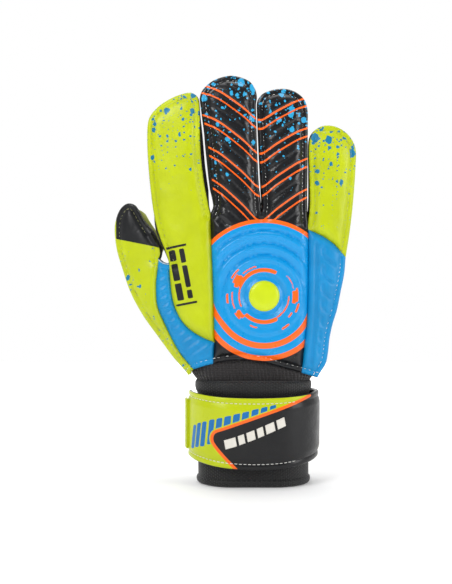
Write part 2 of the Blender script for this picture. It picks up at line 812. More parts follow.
@dataclass
class FlatMesh:
    """A pattern piece divided into triangles, with cuts kept as edges."""

    loop: Points
    cuts: list[Points] = field(default_factory=list)
    spacing: float = GRID_MM

    def divide(self) -> tuple[Points, Points]:
        """Returns the vertices and the triangles."""
        step = self.spacing
        low, high = self.loop.min(axis=0), self.loop.max(axis=0)
        rows = np.arange(low[1], high[1], step * 0.866)
        grid = np.vstack([
            np.column_stack([
                np.arange(low[0] + (row % 2) * step / 2, high[0], step),
                np.full(len(np.arange(low[0] + (row % 2) * step / 2, high[0], step)), height),
            ])
            for row, height in enumerate(rows)
        ])
        keep = inside(grid, self.loop)
        grid = grid[keep]
        closed = np.vstack([self.loop, self.loop[:1]])
        clear = distance_to(grid, closed) > step * 0.55
        for cut in self.cuts:
            clear &= distance_to(grid, cut) > step * 0.55
        grid = grid[clear]
        verts = [Vector(p) for p in self.loop]
        count = len(verts)
        edges = [(i, (i + 1) % count) for i in range(count)]
        for cut in self.cuts:
            first = len(verts)
            verts += [Vector(p) for p in cut]
            edges += [(first + i, first + i + 1) for i in range(len(cut) - 1)]
        verts += [Vector(p) for p in grid]
        points, _, faces, *_ = delaunay_2d_cdt(verts, edges, [], 1, 1e-4)
        flat = np.array([tuple(p) for p in points])
        triangles = np.array([tuple(f) for f in faces if len(f) == 3])
        middle = flat[triangles].mean(axis=1)
        triangles = triangles[inside(middle, self.loop)]
        a, b, c = (flat[triangles[:, k]] for k in range(3))
        area = (b[:, 0] - a[:, 0]) * (c[:, 1] - a[:, 1]) - (b[:, 1] - a[:, 1]) * (c[:, 0] - a[:, 0])
        triangles[area < 0] = triangles[area < 0][:, ::-1]
        return flat, triangles


@dataclass
class Shell:
    """A closed padded shell over one pattern piece, before it is cut into pieces.

    front and lining are the depths y of its two faces at each flat vertex.
    """

    flat: Points
    triangles: Points
    front: Points
    lining: Points
    layers: Layers

    def piece(self, name: str, chosen: Points, materials: list[bpy.types.Material]) -> bpy.types.Object:
        """Makes a closed mesh of the chosen triangles.

        Args:
            name: the piece's name.
            chosen: which triangles belong to it.
            materials: the front's and the lining's materials.

        Returns:
            The piece.
        """
        triangles = self.triangles[chosen]
        used, index = np.unique(triangles, return_inverse=True)
        triangles = index.reshape(-1, 3)
        count = len(used)
        front = np.column_stack([self.flat[used, 0], self.front[used], self.flat[used, 1]])
        lining = np.column_stack([self.flat[used, 0], self.lining[used], self.flat[used, 1]])
        outward = self.front[used].mean() > self.lining[used].mean()
        faces = [tuple(t[::-1]) if outward else tuple(t) for t in triangles]
        skin = len(faces)
        faces += [tuple(v + count for v in face[::-1]) for face in faces[:skin]]
        edges = {}
        for face in faces[:skin]:
            for a, b in zip(face, face[1:] + face[:1]):
                edges[(a, b)] = True
        rim = [(a, b) for a, b in edges if (b, a) not in edges]
        faces += [(b, a, a + count, b + count) for a, b in rim]
        places = np.vstack([front, lining])
        layers = {key: np.r_[values[used], np.full(count, NO_INK if key.startswith("ink") else 0.0)]
                  for key, values in self.layers.items()}
        piece = make_mesh(name, places, faces, layers)
        for material in materials:
            piece.data.materials.append(material)
        numbers = np.zeros(len(faces), int)
        numbers[skin:2 * skin] = min(1, len(materials) - 1)
        piece.data.polygons.foreach_set("material_index", numbers)
        return piece


def make_mesh(
    name: str, places: Points, faces: list[tuple], layers: Layers | None = None,
    weave: Points | None = None, sharp: float = 50.0,
) -> bpy.types.Object:
    """Makes a smooth-shaded mesh object that keeps its rest coordinates.

    Args:
        name: the object's name.
        places: vertices in millimetres.
        faces: the faces' vertex numbers.
        layers: float values to store on the vertices.
        weave: a flat coordinate in millimetres for woven and knitted finishes.
        sharp: edges that turn by more than this many degrees are left sharp.

    Returns:
        The object.
    """
    mesh = bpy.data.meshes.new(name)
    mesh.from_pydata((places * MM).tolist(), [], faces)
    mesh.validate()
    mesh.polygons.foreach_set("use_smooth", [True] * len(mesh.polygons))
    mesh.set_sharp_from_angle(angle=math.radians(sharp))
    rest = mesh.attributes.new("rest", "FLOAT_VECTOR", "POINT")
    rest.data.foreach_set("vector", places.astype(np.float32).ravel())
    if weave is not None:
        flat = mesh.attributes.new("weave", "FLOAT_VECTOR", "POINT")
        flat.data.foreach_set("vector", weave.astype(np.float32).ravel())
    for key, values in (layers or {}).items():
        layer = mesh.attributes.new(key, "FLOAT", "POINT")
        layer.data.foreach_set("value", values.astype(np.float32))
    made = bpy.data.objects.new(name, mesh)
    bpy.context.scene.collection.objects.link(made)
    return made


# ---------------------------------------------------------------- the backhand


@dataclass
class PanelPlan:
    """One pattern piece of the back: its seams in order, and which of them are free edges."""

    name: str
    seams: list[tuple[str, bool]]
    free: set[str]
    puff: float = 2.8
    thumb: bool = False

    def loop(self) -> Points:
        """The closed outline, without its last point repeated."""
        runs = []
        for seam, backwards in self.seams:
            line = smooth_line(SEAMS[seam], GRID_MM)
            runs.append((line[::-1] if backwards else line)[:-1])
        return np.vstack(runs)

    def edge_distances(self, points: Points) -> tuple[Points, Points]:
        """Each point's distance to the free edges and to the sewn seams."""
        result = []
        for free in (True, False):
            best = np.full(len(points), 60.0)
            for seam, _ in self.seams:
                if (seam in self.free) == free:
                    best = np.minimum(best, distance_to(points, smooth_line(SEAMS[seam], 2.0)))
            result.append(best)
        return result[0], result[1]


@dataclass
class Backhand:
    """The padded panels of the back of the glove, with their flanges, embossing and print."""

    finishes: Finishes
    rim: float = 0.9
    rim_rise: float = 1.1
    flange: float = 3.3
    lining_gap: float = 0.5
    pieces: list[bpy.types.Object] = field(default_factory=list)

    def plans(self) -> list[PanelPlan]:
        """The six pattern pieces."""
        return [
            PanelPlan("index", [("index_outside", False), ("index_centre", False), ("web_index", False)],
                      {"index_outside"}),
            PanelPlan("centre", [("middle_outside", False), ("ring_outside", False),
                                 ("centre_little", False), ("centre_outer", False),
                                 ("centre_hem", True), ("low_left", False), ("index_centre", True)],
                      {"middle_outside", "ring_outside", "centre_hem"}),
            PanelPlan("little", [("little_outside", False), ("little_outer", True),
                                 ("centre_little", True)], {"little_outside"}),
            PanelPlan("outer", [("little_outer", False), ("outer_edge", False), ("outer_hem", True),
                                ("centre_outer", True)], {"outer_edge", "outer_hem"}, puff=2.4),
            PanelPlan("web", [("web_thumb", False), ("web_top", False), ("web_index", True),
                              ("low_left", True), ("web_hem", True)], {"web_top", "web_hem"}, puff=1.8),
            PanelPlan("thumb", [("thumb_outside", False), ("web_thumb", True), ("thumb_hem", False)],
                      {"thumb_outside", "thumb_hem"}, puff=2.6, thumb=True),
        ]

    def lift(self, plan: PanelPlan, flat: Points) -> Points:
        """How far each point of a panel's face stands out from its lining.

        Args:
            plan: the panel.
            flat: the panel's flat vertices.

        Returns:
            The lifts in millimetres.
        """
        x, z = flat.T
        free, sewn = plan.edge_distances(flat)
        edge = np.clip(free / self.rim, 0, 1)
        rim = 0.15 + self.rim_rise * np.sqrt(1 - (1 - edge) ** 2)
        groove = 0.55 * np.exp(-(((free - self.flange) / 0.55) ** 2))
        swell = plan.puff * (1 - np.exp(-np.clip(free - self.flange, 0, None) / 2.6))
        from_free = rim - groove + swell
        from_seam = 0.35 + (self.rim_rise + plan.puff) * (1 - np.exp(-sewn / 2.3))
        lift = np.minimum(from_free, from_seam)
        body = ease(0.5, 5, free - self.flange) * ease(1, 5, sewn)
        return lift - body * self.embossing(plan.name, x, z, free)

    def embossing(self, name: str, x: Points, z: Points, free: Points) -> Points:
        """How deep the pressed pattern of a panel is at each point.

        Args:
            name: the panel's name.
            x: the points' x.
            z: the points' z.
            free: the points' distances to the free edges.

        Returns:
            The depths in millimetres.
        """
        if name == "centre":
            return self.centre_embossing(x, z)
        if name == "outer":
            return self.outer_embossing(x, z, free)
        if name == "web":
            along = z * 0.82 - x * 0.57
            return 1.15 * (0.5 + 0.5 * np.cos(along * 2 * math.pi / 5.2)) ** 2
        wrinkle = np.sin(z * 0.31 + 1.7 * np.sin(x * 0.11)) * np.sin(x * 0.19 + z * 0.05)
        return 0.22 * wrinkle

    def centre_embossing(self, x: Points, z: Points) -> Points:
        """The dish and ridges of the round motif, and the chevron pads above it."""
        radius, angle = TARGET.polar(x, z)
        upper = ease(-15, 25, z - TARGET.z)
        depth = 1.5 * np.exp(-(((radius - 12.4) / 1.4) ** 2)) - 0.5 * ease(13.6, 16, radius)
        for ridge in TARGET.ridges:
            step = radius - ridge
            profile = np.exp(-((step / 1.0) ** 2)) - 0.8 * np.exp(-(((step + 2.6) / 1.5) ** 2))
            depth = depth + profile * (0.3 + 0.9 * upper) * 1.15
        phase = CHEVRONS.phase(x, z) + CHEVRONS.gap / 2
        away = np.abs((phase + CHEVRONS.pitch / 2) % CHEVRONS.pitch - CHEVRONS.pitch / 2)
        channel = CHEVRONS.pad_depth * 1.3 * (1 - ease(2.2, 4.6, away))
        middle = CHEVRONS.pad_depth * 0.6 * np.exp(-(((away - CHEVRONS.pitch / 2) / 0.8) ** 2))
        pads = channel + middle - 0.7
        blend = ease(49.5, 52.5, radius)
        return depth * (1 - blend) + pads * blend

    def outer_embossing(self, x: Points, z: Points, free: Points) -> Points:
        """The long groove and the row of hook-shaped dents of the outer panel."""
        heights, seams = (73, 92, 112, 140, 166), (31, 32.9, 34.7, 35.3, 35.5)
        seam = np.interp(z, heights, seams)
        across = x - seam
        channel = ease(2.6, 4.4, across) * ease(7.6, 5.2, across)
        depth = 1.7 * channel * ease(74, 80, z) * ease(161, 156, z)
        flat = np.column_stack([x, z])
        for top in (154.5, 142.0, 130.8, 120.2, 109.8, 99.8, 90.8):
            left = float(np.interp(top, heights, seams)) + 9.2
            mark = smooth_line([(left, top), (left + 0.3, top - 4.6), (left + 3, top - 7.2),
                                (left + 9, top - 11.5)], 0.8)
            wide = 1.0 + 0.6 * ease(top - 7, top - 2, z)
            depth = depth + 1.35 * np.exp(-((distance_to(flat, mark) / wide) ** 2))
        return depth * ease(0, 1.5, free - self.flange)

    def layers(self, plan: PanelPlan, flat: Points) -> Layers:
        """The printed layers of a panel, as values on its vertices."""
        x, z = flat.T
        layers = plain_layers(x, z)
        layers["chevron"] = CHEVRONS.phase(x, z)
        layers["spray"] = self.spray(plan, flat)
        if plan.name == "centre":
            radius, _ = TARGET.polar(x, z)
            upper = z > TARGET.z
            edge_taper = -2.6 * ease(-20, -3, z - TARGET.z) * (x < TARGET.x)
            disc = np.where(upper, TARGET.top_band[0] - radius, TARGET.low_band[0] - radius)
            bands = [
                np.where(upper, self.band(radius, TARGET.top_band), NO_INK),
                np.where(upper, NO_INK, self.band(radius, TARGET.low_band)),
                np.where(upper, NO_INK, self.band(radius + edge_taper, TARGET.middle_band)),
                TARGET.broken_ring(x, z),
            ]
            layers[Ink.BLUE.value] = disc + 0.3
            layers[Ink.ORANGE.value] = np.maximum.reduce(bands)
            layers["chevron_mask"] = ease(TARGET.top_band[1] - 1.2, TARGET.top_band[1] - 0.2, radius)
            down = layers["chevron"]
            layers["chevron_mask"] *= (z > TARGET.z) & (down > -CHEVRONS.gap - 2)
            layers["chevron_mask"] *= down < 3 * CHEVRONS.pitch + 2
        if plan.name == "index":
            layers[Ink.BLACK.value] = self.label_bars(x, z)
        if plan.name == "thumb":
            cap = (z - 160.6) + 0.21 * (x + 88.5)
            layers[Ink.BLACK.value] = np.minimum(cap, x + 91.2)
        return layers

    def band(self, radius: Points, limits: tuple[float, float]) -> Points:
        """The signed distance into a ring between two radii."""
        return np.minimum(radius - limits[0], limits[1] - radius)

    def spray(self, plan: PanelPlan, flat: Points) -> Points:
        """The density of the paint drops: towards the fingertips, and along the thumb's outside."""
        z = flat[:, 1]
        if plan.name in ("outer", "web"):
            return np.zeros(len(z))
        if plan.name == "thumb":
            free, _ = plan.edge_distances(flat)
            return 0.5 * ease(15, 5, free) * ease(160, 148, z)
        start, full = {"index": (172, 268), "centre": (176, 268), "little": (150, 236)}[plan.name]
        return 0.84 * np.clip((z - start) / (full - start), 0, 1) ** 0.8

    def label_bars(self, x: Points, z: Points) -> Points:
        """A plain printed block of bars beside the index seam: two end bars and two rows of blocks."""
        turn = math.radians(101)
        along = (x + 47.3) * math.cos(turn) + (z - 137) * math.sin(turn)
        across = (x + 47.3) * math.sin(turn) - (z - 137) * math.cos(turn)
        best = np.full(len(x), NO_INK)
        blocks = [(-18.9, 0.75, -7, 7), (18.9, 0.75, -7, 7)]
        blocks += [(-10.6, 5.6, -5.4, -1.0), (2.4, 5.6, -5.4, -1.0), (13.4, 3.6, -5.4, -1.0)]
        blocks += [(-13.2, 2.8, 1.6, 5.0), (-1.4, 7.2, 1.6, 5.0), (12.2, 4.6, 1.6, 5.0)]
        for centre, half, low, high in blocks:
            sides = np.minimum(half - np.abs(along - centre), np.minimum(across - low, high - across))
            best = np.maximum(best, sides)
        return best

    def build(self) -> None:
        """Builds and dresses the panels, cut at the bending lines."""
        skins = {"index": self.finishes.lime, "centre": self.finishes.black,
                 "little": self.finishes.lime, "outer": self.finishes.blue,
                 "web": self.finishes.blue, "thumb": self.finishes.lime}
        for plan in self.plans():
            cuts = self.cut_lines(plan.name)
            flat, triangles = FlatMesh(plan.loop(), cuts).divide()
            x, z = flat.T
            base = FORM.back(x, z, plan.thumb)
            shell = Shell(flat, triangles, base - self.lift(plan, flat), base + self.lining_gap,
                          self.layers(plan, flat))
            materials = [skins[plan.name], self.finishes.lining]
            self.make_pieces(plan, shell, materials)

    def cut_lines(self, name: str) -> list[Points]:
        """Where a panel is cut apart, as lines right across each stall."""
        cuts = []
        for stall_name in {"index": ["index"], "centre": ["middle", "ring"], "little": ["little"]}.get(
                name, []):
            stall = STALLS[stall_name]
            left, right = stall.edges(stall.cut)
            cuts.append(self.level_line(left, right, stall.cut, name))
        if name == "centre":
            cuts.append(self.level_line(-30, 36, STALLS["middle"].low - FINGER_FOOT, name))
        return cuts

    def level_line(self, left: float, right: float, height: float, name: str) -> Points:
        """A level line, clipped to a panel's outline."""
        line = resample(np.array([(left, height), (right, height)]), GRID_MM / 3)
        loop = next(plan for plan in self.plans() if plan.name == name).loop()
        kept = line[inside(line, loop)]
        return resample(kept, GRID_MM)

    def make_pieces(self, plan: PanelPlan, shell: Shell, materials: list[bpy.types.Material]) -> None:
        """Cuts a panel's shell into pieces and gives each its bodies."""
        middle = shell.flat[shell.triangles].mean(axis=1)
        whole = np.ones(len(middle), bool)
        if plan.name in ("index", "little"):
            stall = STALLS[plan.name]
            node = {"index": "index_side_panel", "little": "little_side_panel"}[plan.name]
            root = self.add(shell, f"{plan.name}_back_root", middle[:, 1] < stall.cut, materials)
            tip = self.add(shell, f"{plan.name}_back_tip", middle[:, 1] >= stall.cut, materials)
            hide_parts(node, f"{plan.name}_base_back")
            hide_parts(f"{plan.name}_tip_back")
            stall.bend_root(root)
            stall.bend_tip(tip)
        elif plan.name == "centre":
            floor = STALLS["middle"].low - FINGER_FOOT
            hand = self.add(shell, "centre_back", middle[:, 1] < floor, materials)
            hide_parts("backhand_panel")
            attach(hand, "hand")
            for name in ("middle", "ring"):
                stall = STALLS[name]
                slit = STALLS["ring"].edges(middle[:, 1])[0]
                mine = (middle[:, 1] >= floor) & ((middle[:, 0] < slit) == (name == "middle"))
                root = self.add(shell, f"{name}_back_root", mine & (middle[:, 1] < stall.cut), materials)
                tip = self.add(shell, f"{name}_back_tip", mine & (middle[:, 1] >= stall.cut), materials)
                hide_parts(f"{name}_base_back")
                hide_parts(f"{name}_tip_back")
                stall.bend_root(root)
                stall.bend_tip(tip)
        elif plan.name == "thumb":
            piece = self.add(shell, "thumb_back", whole, materials)
            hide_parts("thumb_base_back", "thumb_tip_back", "thumb_heel_back")
            THUMB.bend(piece)
        else:
            piece = self.add(shell, f"{plan.name}_back", whole, materials)
            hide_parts({"outer": "outer_side_panel", "web": "thumb_web_panel"}[plan.name])
            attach(piece, "hand")

    def add(self, shell: Shell, name: str, chosen: Points, materials: list) -> bpy.types.Object:
        """Makes one piece of a panel and declares its padding."""
        piece = shell.piece(name, chosen, materials)
        self.pieces.append(piece)
        LOG.info("panel piece %s: %d faces", name, len(piece.data.polygons))
        return piece


# ---------------------------------------------------------------- the palm


@dataclass
class Palm:
    """The latex palm: one sheet over the hand and every stall, cut at the bending lines."""

    finishes: Finishes
    inset: float = 0.7
    overlap: float = 3.6
    thick: float = 6.4
    round_radius: float = 3.4
    pieces: list[bpy.types.Object] = field(default_factory=list)

    def loop(self) -> Points:
        """The outline, a little inside the glove's contour."""
        line = contour_line()
        beside = (line[:, 0] < -58) & (line[:, 1] > 148) & (line[:, 0] > -84 + 0.4 * (184 - line[:, 1]))
        beside &= np.arange(len(line)) < len(smooth_line(SEAMS["thumb_outside"], GRID_MM))
        amount = np.where(beside, self.inset - self.overlap * ease(150, 157, line[:, 1])
                          * ease(184, 176, line[:, 1]), self.inset)
        contour = inset_line(line, amount[:, None])
        heel = smooth_line([tuple(contour[-1]), (22, 66.5), (0, 65), (-22, 66.5), tuple(contour[0])],
                           GRID_MM)
        return resample(np.vstack([contour, heel[1:]]), GRID_MM)[:-1]

    def creases(self, x: Points, z: Points) -> Points:
        """How deep the folds across the bending lines and the palm's life line are."""
        depth = np.zeros(len(x))
        for stall in STALLS.values():
            left, right = stall.edges(z)
            mine = ease(-1, 1, x - left) * ease(-1, 1, right - x)
            for height in (stall.low, stall.high):
                depth = depth + mine * 1.3 * np.exp(-(((z - height) / 1.5) ** 2))
        flat = np.column_stack([x, z])
        thumb_fold = smooth_line([(-57, 152), (-40, 142), (-25, 122), (-18, 98), (-16, 76)], 2.0)
        heel_fold = smooth_line([(-30, 160), (0, 150), (34, 152), (56, 158)], 2.0)
        depth = depth + 1.1 * np.exp(-((distance_to(flat, thumb_fold) / 1.5) ** 2))
        return depth + 0.9 * np.exp(-((distance_to(flat, heel_fold) / 1.5) ** 2))

    def build(self) -> None:
        """Builds the palm's pieces."""
        loop = self.loop()
        cuts = []
        for stall in STALLS.values():
            for height in (stall.low - FINGER_FOOT, stall.cut):
                left, right = stall.edges(height)
                line = resample(np.array([(left, height), (right, height)]), 0.4)
                kept = line[inside(line, loop)]
                cuts.append(resample(kept, GRID_MM))
        thumb_line = resample(np.array([(-57.0, 152.4), (-91.5, 143.8)]), 0.4)
        cuts.append(resample(thumb_line[inside(thumb_line, loop)], GRID_MM))
        flat, triangles = FlatMesh(loop, cuts, spacing=1.5).divide()
        x, z = flat.T
        base = FORM.palm(x, z, True)
        edge = distance_to(flat, np.vstack([loop, loop[:1]]))
        rounded = np.clip(edge / self.round_radius, 0, 1)
        lift = 2.6 + (self.thick - 2.6) * np.sqrt(1 - (1 - rounded) ** 2)
        lift -= self.creases(x, z) * rounded
        bumps = 0.25 * np.sin(x * 0.21 + 0.6 * np.sin(z * 0.13)) * np.sin(z * 0.17)
        front = base + lift + bumps * rounded
        shell = Shell(flat, triangles, front, base - 0.5, {})
        self.make_pieces(shell)

    def make_pieces(self, shell: Shell) -> None:
        """Cuts the palm at the bending lines and gives each part its bodies."""
        middle = shell.flat[shell.triangles].mean(axis=1)
        x, z = middle.T
        materials = [self.finishes.latex, self.finishes.lining]
        over_thumb = z - 152.4 > (x + 57.0) * (152.4 - 143.8) / (-57.0 + 91.5)
        thumb = (x < -57.0) & over_thumb & (z < 190) & (x < -57.6 - (z - 151.2) * 0.30)
        unclaimed = ~thumb
        piece = shell.piece("thumb_palm_latex", thumb, [self.finishes.latex])
        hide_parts("thumb_tip_latex", "thumb_base_latex", "thumb_heel_latex")
        THUMB.bend(piece)
        self.pieces.append(piece)
        for name, stall in STALLS.items():
            mine = stall.owns(x, z) & (z >= stall.low - FINGER_FOOT) & unclaimed
            unclaimed &= ~mine
            root = shell.piece(f"{name}_palm_root_latex", mine & (z < stall.cut), materials)
            tip = shell.piece(f"{name}_palm_tip_latex", mine & (z >= stall.cut), materials)
            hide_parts(f"{name}_base_latex")
            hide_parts(f"{name}_tip_latex")
            stall.bend_root(root)
            stall.bend_tip(tip)
            self.pieces += [root, tip]
        piece = shell.piece("palm_latex_sheet", unclaimed, materials)
        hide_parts("palm_latex")
        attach(piece, "hand")
        self.pieces.append(piece)
        for piece in self.pieces:
            LOG.info("palm piece %s: %d faces", piece.name, len(piece.data.polygons))


def contour_line() -> Points:
    """The glove's whole free contour, from the wrist round thumb and fingers to the wrist."""
    runs = [smooth_line(SEAMS[name], GRID_MM)[:-1] for name in CONTOUR]
    return np.vstack([*runs, [SEAMS[CONTOUR[-1]][-1]]])


def inset_line(line: Points, amount: float) -> Points:
    """Moves an open line to its right-hand side, which is the inside of a clockwise contour."""
    way = np.gradient(line, axis=0)
    way /= np.maximum(np.linalg.norm(way, axis=1), 1e-9)[:, None]
    return line + amount * np.column_stack([way[:, 1], -way[:, 0]])


# ---------------------------------------------------------------- gussets


@dataclass
class Gussets:
    """The mesh walls between back and palm, along the whole contour."""

    finishes: Finishes
    inset: float = 1.6
    wall: float = 1.1
    rows: int = 9
    slack: float = 2.1

    def bulges(self, run: Points) -> Points:
        """How far the wall swells at each point: more where a neighbouring stall is close."""
        contour = contour_line()
        place = np.array([int(np.argmin(np.hypot(*(contour - spot).T))) for spot in run])
        gaps = np.full(len(run), 9.0)
        for k, spot in enumerate(run):
            away = np.hypot(*(contour - contour[place[k]]).T)
            away[max(0, place[k] - 22):place[k] + 23] = 99.0
            gaps[k] = min(away.min(), 9.0)
        most = np.where(run[:, 0] > 20, 0.8, 2.2)  # the little finger's lines lie lower
        wide = np.where(gaps < 6.0, self.inset + np.minimum(gaps / 2 - 0.45, most), self.slack)
        kernel = np.ones(9) / 9
        padded = np.r_[[wide[0]] * 4, wide, [wide[-1]] * 4]
        return np.convolve(padded, kernel, mode="valid")

    def build(self) -> None:
        """Builds one wall for each stall's root and tip, the thumb and the outer edge."""
        line = inset_line(contour_line(), self.inset)
        starts = self.starts(line)
        thumb = line[: starts["index"] + 1]
        self.wall_piece("thumb_gusset", [thumb], True)
        names = list(STALLS)
        for number, name in enumerate(names):
            first = starts[name]
            last = starts[names[number + 1]] if number + 1 < len(names) else len(line) - 1
            run = line[first:last + 1]
            over = run[:, 1] >= STALLS[name].cut
            top = np.flatnonzero(over)
            tip = run[top[0]:top[-1] + 1]
            roots = [run[: top[0] + 1], run[top[-1]:]]
            root_piece = self.wall_piece(f"{name}_gusset_root", roots, False)
            tip_piece = self.wall_piece(f"{name}_gusset_tip", [tip], False)
            replaced = {"index": ["inner_hand_gusset"], "little": ["outer_hand_gusset"]}.get(name, [])
            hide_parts(f"{name}_base_gusset", *replaced)
            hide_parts(f"{name}_tip_gusset")
            STALLS[name].bend_root(root_piece)
            STALLS[name].bend_tip(tip_piece)

    def starts(self, line: Points) -> dict[str, int]:
        """Where each stall's run begins along the contour."""
        crotches = {"index": SEAMS["index_outside"][0], "middle": SEAMS["middle_outside"][0],
                    "ring": SEAMS["ring_outside"][0], "little": SEAMS["little_outside"][0]}
        return {
            name: int(np.argmin(np.linalg.norm(line - np.array(point), axis=1)))
            for name, point in crotches.items()
        }

    def wall_piece(self, name: str, runs: list[Points], thumb: bool) -> bpy.types.Object:
        """Makes a closed wall along one or more runs of the contour.

        Args:
            name: the piece's name.
            runs: lines in the X-Z plane.
            thumb: whether the runs belong to the thumb, which is set back.

        Returns:
            The piece.
        """
        places, faces, weave = [], [], []
        offset = 0
        for run in runs:
            way = np.gradient(run, axis=0)
            way /= np.maximum(np.linalg.norm(way, axis=1), 1e-9)[:, None]
            inward = np.column_stack([way[:, 1], -way[:, 0]])
            length = np.r_[0, np.cumsum(np.linalg.norm(np.diff(run, axis=0), axis=1))]
            back = FORM.back(run[:, 0], run[:, 1], thumb)
            palm = FORM.palm(run[:, 0], run[:, 1], True)
            swell = self.bulges(run)
            layers = []
            for side in (0, 1):
                for row in range(self.rows):
                    t = row / (self.rows - 1)
                    bulge = side * self.wall - swell * math.sin(math.pi * t) ** 0.7
                    spot = run + inward * bulge[:, None]
                    depth = back * (1 - t) + palm * t
                    places.append(np.column_stack([spot[:, 0], depth, spot[:, 1]]))
                    weave.append(np.column_stack([length, depth, np.zeros(len(run))]))
                    layers.append(offset + np.arange(len(run)))
                    offset += len(run)
            ring = layers[: self.rows] + layers[self.rows:][::-1]
            for lower, upper in zip(ring, ring[1:] + ring[:1]):
                for i in range(len(run) - 1):
                    faces.append((lower[i], upper[i], upper[i + 1], lower[i + 1]))
            faces.append(tuple(int(layer[0]) for layer in ring[::-1]))
            faces.append(tuple(int(layer[-1]) for layer in ring))
        faces = [tuple(int(v) for v in face) for face in faces]
        piece = make_mesh(name, np.vstack(places), faces, weave=np.vstack(weave))
        piece.data.materials.append(self.finishes.mesh)
        if thumb:
            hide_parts("thumb_base_gusset", "thumb_tip_gusset")
            THUMB.bend(piece)
        LOG.info("gusset %s: %d faces", name, len(faces))
        return piece


# ---------------------------------------------------------------- stitches


@dataclass(frozen=True)
class Thread:
    """A sewing thread and the stitches that it makes, each a small rounded bar."""

    pitch: float = 2.9
    length: float = 1.9
    radius: float = 0.21
    sides: int = 6
    stations: tuple[tuple[float, float], ...] = ((-0.5, 0.35), (-0.34, 1.0), (0.34, 1.0), (0.5, 0.35))

    def sew(
        self, name: str, centres: Points, forwards: Points, acrosses: Points, ups: Points
    ) -> bpy.types.Object:
        """Makes a row of stitches as one mesh.

        Args:
            name: the piece's name.
            centres: the stitches' centres.
            forwards: the unit directions that the stitches run in.
            acrosses: the unit directions across them.
            ups: the unit directions square to both.

        Returns:
            The piece.
        """
        places, faces = [], []
        sides = self.sides
        for centre, forward, across, up in zip(centres, forwards, acrosses, ups):
            first = len(places)
            for along, thick in self.stations:
                for side in range(sides):
                    turn = 2 * math.pi * side / sides
                    ring = across * math.cos(turn) + up * math.sin(turn)
                    places.append(centre + forward * along * self.length + ring * self.radius * thick)
            last = first + (len(self.stations) - 1) * sides
            for low in range(first, last, sides):
                for side in range(sides):
                    a, b = low + side, low + (side + 1) % sides
                    faces.append((a, b, b + sides, a + sides))
            faces.append(tuple(first + side for side in range(sides))[::-1])
            faces.append(tuple(last + side for side in range(sides)))
        return make_mesh(name, np.array(places), faces)


THREAD = Thread()


@dataclass
class Stitches:
    """Rows of thread stitches, each a small rounded bar that lies on the panel's face."""

    finishes: Finishes
    backhand: Backhand
    inset: float = 3.3
    web_inset: float = 0.5  # the web's top is overcast at its very edge
    web_pitch: float = 1.5
    seat: float = 0.1  # how far the thread's middle stands off the face

    def build(self) -> None:
        """Builds the rows along the free edges of the backhand."""
        for plan in self.backhand.plans():
            for seam in sorted(plan.free):
                backwards = dict(plan.seams)[seam]
                line = smooth_line(SEAMS[seam], 0.5)
                if backwards:
                    line = line[::-1]
                inset = self.web_inset if seam == "web_top" else self.inset
                row = inset_line(line, inset)
                row = row[distance_to(row, line) > inset * 0.93]
                self.sew(plan, seam, row)

    def sew(self, plan: PanelPlan, seam: str, row: Points) -> None:
        """Sews one row, cut at the bending lines as its panel is.

        Args:
            plan: the panel that the row lies on.
            seam: the seam that it follows.
            row: the row's line in the X-Z plane.
        """
        row = resample(row, self.web_pitch if seam == "web_top" else THREAD.pitch)
        middles = (row[:-1] + row[1:]) / 2
        ways = np.diff(row, axis=0)
        ways /= np.maximum(np.linalg.norm(ways, axis=1), 1e-9)[:, None]
        step = 0.8
        depth, ahead = (
            FORM.back(*spots.T, plan.thumb) - self.backhand.lift(plan, spots) - self.seat
            for spots in (middles, middles + ways * step)
        )
        centres = np.column_stack([middles[:, 0], depth, middles[:, 1]])
        forwards = np.column_stack([ways[:, 0], (ahead - depth) / step, ways[:, 1]])
        forwards /= np.linalg.norm(forwards, axis=1)[:, None]
        acrosses = np.column_stack([ways[:, 1], np.zeros(len(ways)), -ways[:, 0]])
        ups = np.cross(forwards, acrosses)
        name = seam.replace("_outside", "")
        groups: dict[str, Points] = {}
        if name in STALLS:
            stall = STALLS[name]
            groups["root"] = middles[:, 1] < stall.cut
            groups["tip"] = ~groups["root"]
        else:
            groups["row"] = np.ones(len(middles), bool)
        for part, chosen in groups.items():
            piece = THREAD.sew(f"{name}_stitches_{part}", centres[chosen], forwards[chosen],
                               acrosses[chosen], ups[chosen])
            white = plan.name in ("centre", "outer", "web") or seam.endswith("hem")
            piece.data.materials.append(self.finishes.thread if white else self.finishes.grey_thread)
            if part == "root":
                STALLS[name].bend_root(piece)
            elif part == "tip":
                STALLS[name].bend_tip(piece)
            elif plan.thumb:
                THUMB.bend(piece)
            else:
                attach(piece, "hand")


# ---------------------------------------------------------------- the dome


